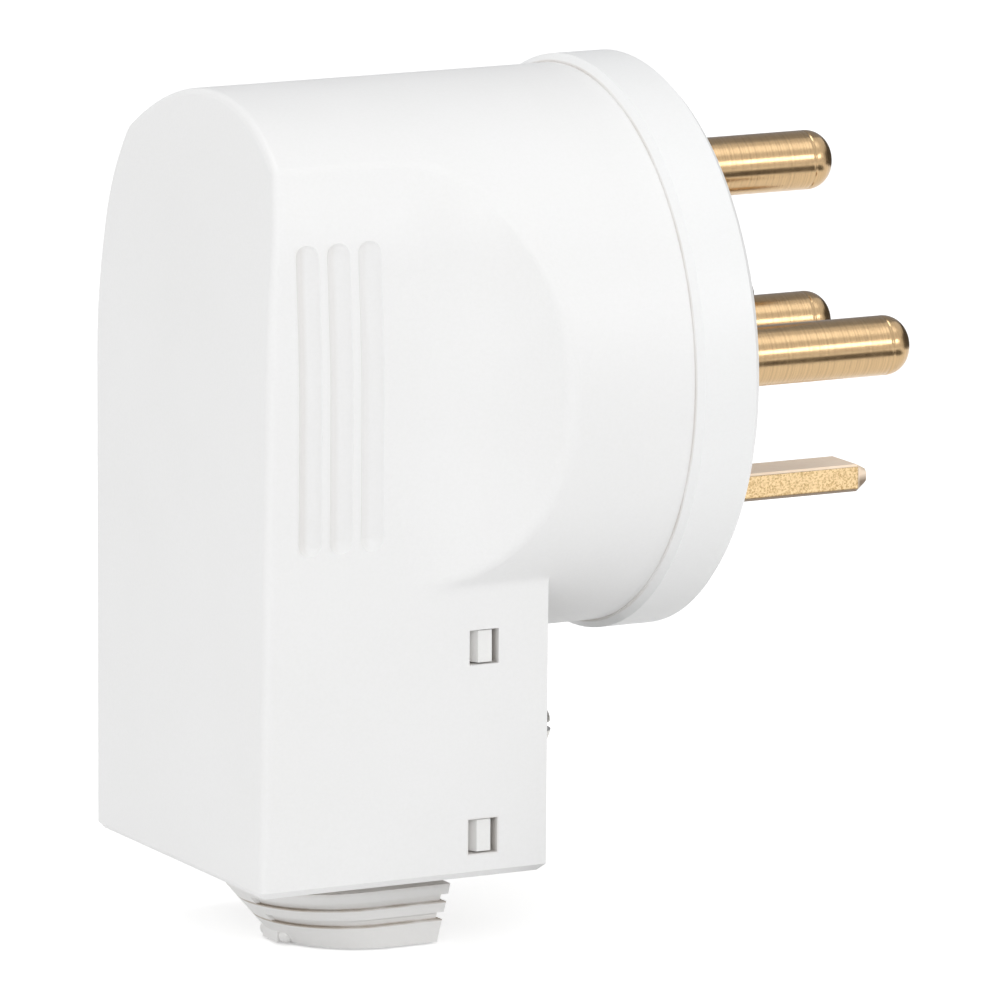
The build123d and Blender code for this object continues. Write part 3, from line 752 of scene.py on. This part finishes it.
def dark_card(name, paint, azimuth, elevation, distance, width, height, lean=None):
    """Stand a card off the pins in a direction of azimuth a and elevation e, in degrees.

    Its middle is the pins' place plus distance times (cos e cos a, cos e sin a, sin e). Its
    width runs along (-sin a, cos a, 0) and its height along (-sin l cos a, -sin l sin a, cos l).
    The lean l is the elevation, which faces the card to the pins, unless it is given.
    """
    a, e = math.radians(azimuth), math.radians(elevation)
    tilt = e if lean is None else math.radians(lean)
    toward = np.array([math.cos(e) * math.cos(a), math.cos(e) * math.sin(a), math.sin(e)])
    across = 0.5 * width * np.array([-math.sin(a), math.cos(a), 0.0])
    rise = 0.5 * height * np.array([
        -math.sin(tilt) * math.cos(a), -math.sin(tilt) * math.sin(a), math.cos(tilt)])
    middle = np.array(pins_at) + distance * toward
    ways = ((-1, -1), (1, -1), (1, 1), (-1, 1))
    card = flat_card(name, [tuple(middle + u * across + v * rise) for u, v in ways], paint)
    card.visible_camera = card.visible_diffuse = card.visible_shadow = False
    card.visible_transmission = False
    print(name, "in", paint.name, "at", azimuth, "and", elevation, "degrees")


card_black = card_paint("card black", (0.10, 0.09, 0.08, 1))
card_grey = card_paint("card grey", (0.40, 0.41, 0.44, 1))
dark_card("upper rear card", card_grey, 61, 35, distance=0.32, width=0.30, height=0.40)
dark_card("rear card", card_grey, 62, 0, distance=0.30, width=0.17, height=0.112)
dark_card("low card", card_black, -62, -14.3, distance=0.225, width=0.20, height=0.21, lean=90)
dark_card("side card", card_black, 12, 7, distance=0.30, width=0.40, height=0.185, lean=0)


# %% [markdown]
# The bright floor throws light up at the collar's underside, which should be the darkest part
# of the white body. A dark sheet just over the floor keeps some of that light off. It is
# painted on its upper face only: Backfacing makes its lower face clear, so that the floor
# under it stays lit. The camera doesn't see it, and it casts no shadow.

# %% Sheet under the collar
under_paint = card_paint("sheet grey", (0.05, 0.05, 0.05, 1))
tree = under_paint.node_tree
choice = add(tree, "ShaderNodeMixShader")
backfacing = add(tree, "ShaderNodeNewGeometry").outputs["Backfacing"]
clear = add(tree, "ShaderNodeBsdfTransparent").outputs[0]
for index, source in enumerate((backfacing, tree.nodes["Principled BSDF"].outputs[0], clear)):
    join(tree, source, choice.inputs[index])
join(tree, choice.outputs[0], tree.nodes["Material Output"].inputs["Surface"])
sheet_z = floor_z + 1.0 * mm
under = flat_card("under sheet", level_corners(-0.017, 0.006, -0.032, 0.032, sheet_z), under_paint)
under.visible_camera = under.visible_shadow = under.visible_transmission = False
print("sheet under the collar at", round(sheet_z / mm, 2), "mm")


# %% [markdown]
# The camera looks from behind the plug's back, to the left of the pins and a little from
# above. It stands more than a metre away with a long lens, so the plug is drawn with very
# little perspective. The direction is written as two angles that give the way it looks.

# %% Camera
camera_data = bpy.data.cameras.new("camera")
camera_data.sensor_fit = "HORIZONTAL"
camera_data.sensor_width = 36.0
camera_data.lens = 400.82
camera_data.clip_end = 20.0
camera = bpy.data.objects.new("camera", camera_data)
bpy.context.scene.collection.objects.link(camera)
yaw, pitch = math.radians(26.804), math.radians(10.602)
forward = Vector((
    math.sin(yaw) * math.cos(pitch), math.cos(yaw) * math.cos(pitch), -math.sin(pitch)))
camera.location = (-0.506466, -0.974373, 0.188815)
camera.rotation_euler = forward.to_track_quat("-Z", "Y").to_euler()
bpy.context.scene.camera = camera
bpy.context.scene.view_settings.view_transform = "Standard"
print("camera at", tuple(round(v, 3) for v in camera.location))
